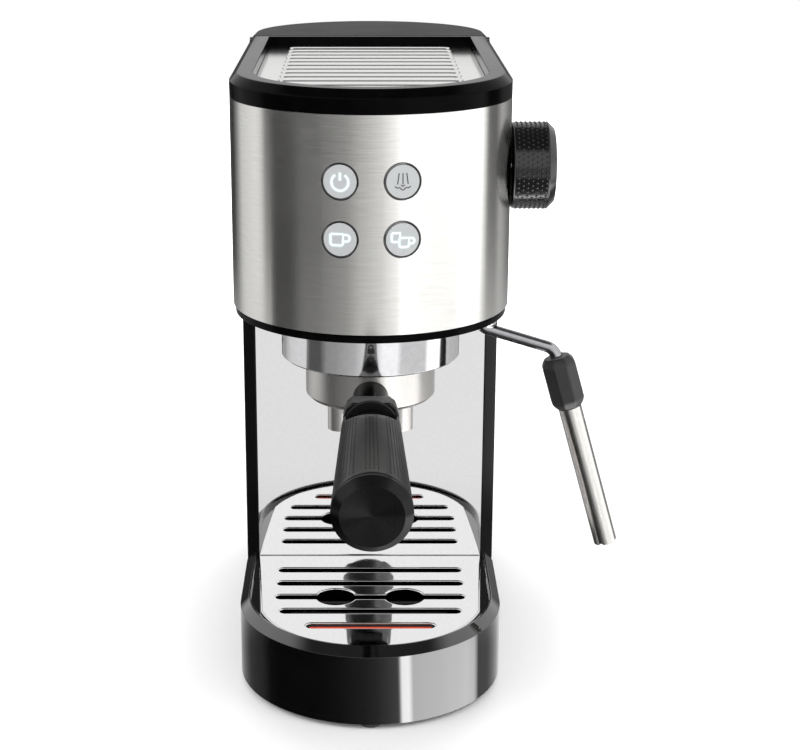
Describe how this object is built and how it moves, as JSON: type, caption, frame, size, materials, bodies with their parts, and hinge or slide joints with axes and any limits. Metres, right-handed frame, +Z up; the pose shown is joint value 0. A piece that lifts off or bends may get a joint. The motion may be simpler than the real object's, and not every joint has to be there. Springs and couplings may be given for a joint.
{
  "type": "espresso machine",
  "caption": "Slim pump espresso machine with a round-nosed steel head, twin-spout portafilter, swinging steam wand, slide-out drip tray and lift-off rear water tank.",
  "frame": {"origin": "middle of the front foot's underside, on the machine's middle plane", "axes": "+X to the machine's right as seen by the user, +Y to the back, +Z up"},
  "size_m": [0.2001, 0.425, 0.325],
  "materials": {
    "matte_black": "moulded, fine matte",
    "gloss_black": "moulded, polished gloss",
    "satin_black": "moulded, satin",
    "black_metal": "spun disc, black anodised",
    "foot_rubber": "moulded",
    "seal_rubber": "moulded silicone",
    "grip_rubber": "moulded",
    "zinc_screws": "zinc plated",
    "zinc_sheet": "zinc coated sheet",
    "polished_steel": "mirror polished sheet",
    "brushed_steel": "brushed sheet",
    "satin_metal": "satin turned",
    "bright_chrome": "bright plate",
    "cast_aluminium": "die cast",
    "valve_brass": "machined",
    "float_red": "moulded",
    "button_grey": "satin",
    "board_green": "circuit board",
    "tank_smoke": "translucent smoke grey",
    "valve_white": "moulded",
    "lid_grey": "moulded, fine matte",
    "pump_body": "moulded",
    "hose_silicone": "silicone tube"
  },
  "bodies": {
    "housing": {"base_plate": "matte_black", "rubber_feet": "foot_rubber", "base_screws": "zinc_screws", "column_shell": "gloss_black", "column_front_panel": "polished_steel", "tank_bay_wall": "matte_black", "tank_cradle": "gloss_black", "cord_gland": "matte_black", "inner_frame": "zinc_sheet", "head_shell": "brushed_steel", "head_bottom_trim": "matte_black", "top_ring": "gloss_black", "cup_warmer_plate": "brushed_steel", "button_bezels": "matte_black", "button_switches": "matte_black", "control_board": "board_green", "works_brackets": "zinc_sheet", "steam_valve": "valve_brass", "group_collar": "bright_chrome", "group_head": "cast_aluminium", "group_gasket": "seal_rubber", "shower_screen": "brushed_steel", "screen_screw": "zinc_screws", "wand_nut": "bright_chrome", "tank_coupler": "valve_white", "pump": "pump_body", "pump_mounts": "seal_rubber", "boiler_block": "cast_aluminium", "thermal_fuse": "valve_white", "solenoid_valve": "valve_brass", "flow_meter": "valve_white", "mains_terminal": "valve_white", "water_hoses": "hose_silicone"},
    "button_power": {"button_power": "button_grey"},
    "button_steam": {"button_steam": "button_grey"},
    "button_one_cup": {"button_one_cup": "button_grey"},
    "button_two_cups": {"button_two_cups": "button_grey"},
    "steam_knob": {"steam_knob": "satin_black", "valve_spindle": "bright_chrome"},
    "portafilter": {"portafilter_cup": "satin_metal", "filter_basket": "brushed_steel", "basket_spring": "bright_chrome", "portafilter_spout": "bright_chrome", "handle_neck": "satin_black", "handle_grip": "satin_black", "handle_end_cap": "black_metal", "handle_bolt": "zinc_screws"},
    "steam_wand": {"steam_pipe": "bright_chrome", "wand_grip": "grip_rubber"},
    "frother_sleeve": {"frother_sleeve": "satin_metal"},
    "drip_tray": {"drip_tray": "gloss_black"},
    "drip_grid": {"drip_grid": "polished_steel"},
    "tray_float": {"tray_float": "float_red"},
    "water_tank": {"water_tank": "tank_smoke", "lid_hinge_pin": "bright_chrome", "tank_valve": "valve_white", "tank_valve_spring": "bright_chrome", "tank_seal": "seal_rubber"},
    "tank_lid": {"tank_lid": "lid_grey"}
  },
  "joints": [
    {"name": "button_power_press", "type": "slide", "parent": "housing", "child": "button_power", "axis": [0.2071, 0.9783, 0], "range_m": [0, 0.0012], "stiffness_N_per_m": 400},
    {"name": "button_steam_press", "type": "slide", "parent": "housing", "child": "button_steam", "axis": [-0.2071, 0.9783, 0], "range_m": [0, 0.0012], "stiffness_N_per_m": 400},
    {"name": "button_one_cup_press", "type": "slide", "parent": "housing", "child": "button_one_cup", "axis": [0.2071, 0.9783, 0], "range_m": [0, 0.0012], "stiffness_N_per_m": 400},
    {"name": "button_two_cups_press", "type": "slide", "parent": "housing", "child": "button_two_cups", "axis": [-0.2071, 0.9783, 0], "range_m": [0, 0.0012], "stiffness_N_per_m": 400},
    {"name": "steam_knob_turn", "type": "hinge", "parent": "housing", "child": "steam_knob", "pos_m": [0.07, 0.0671, 0.277], "axis": [1, 0, 0], "range_deg": [0, 180]},
    {"name": "portafilter_turn", "type": "hinge", "parent": "housing", "child": "portafilter", "pos_m": [0, 0.0621, 0.17], "axis": [0, 0, 1], "range_deg": [-75, 0]},
    {"name": "steam_wand_swing", "type": "hinge", "parent": "housing", "child": "steam_wand", "pos_m": [0.056, 0.0531, 0.2037], "axis": [0, 0, 1], "range_deg": [-60, 45]},
    {"name": "frother_sleeve_pull", "type": "slide", "parent": "steam_wand", "child": "frother_sleeve", "axis": [0.2756, 0, -0.9613], "range_m": [0, 0.055]},
    {"name": "drip_tray_slide", "type": "slide", "parent": "housing", "child": "drip_tray", "axis": [0, -1, 0], "range_m": [0, 0.11]},
    {"name": "drip_grid_lift", "type": "slide", "parent": "drip_tray", "child": "drip_grid", "axis": [0, 0, 1], "range_m": [0, 0.05]},
    {"name": "tray_float_rise", "type": "slide", "parent": "drip_tray", "child": "tray_float", "axis": [0, 0, 1], "range_m": [0, 0.005]},
    {"name": "water_tank_lift", "type": "slide", "parent": "housing", "child": "water_tank", "axis": [0, 0, 1], "range_m": [0, 0.12]},
    {"name": "tank_lid_swing", "type": "hinge", "parent": "water_tank", "child": "tank_lid", "pos_m": [0, 0.2215, 0.3225], "axis": [1, 0, 0], "range_deg": [0, 100]}
  ]
}
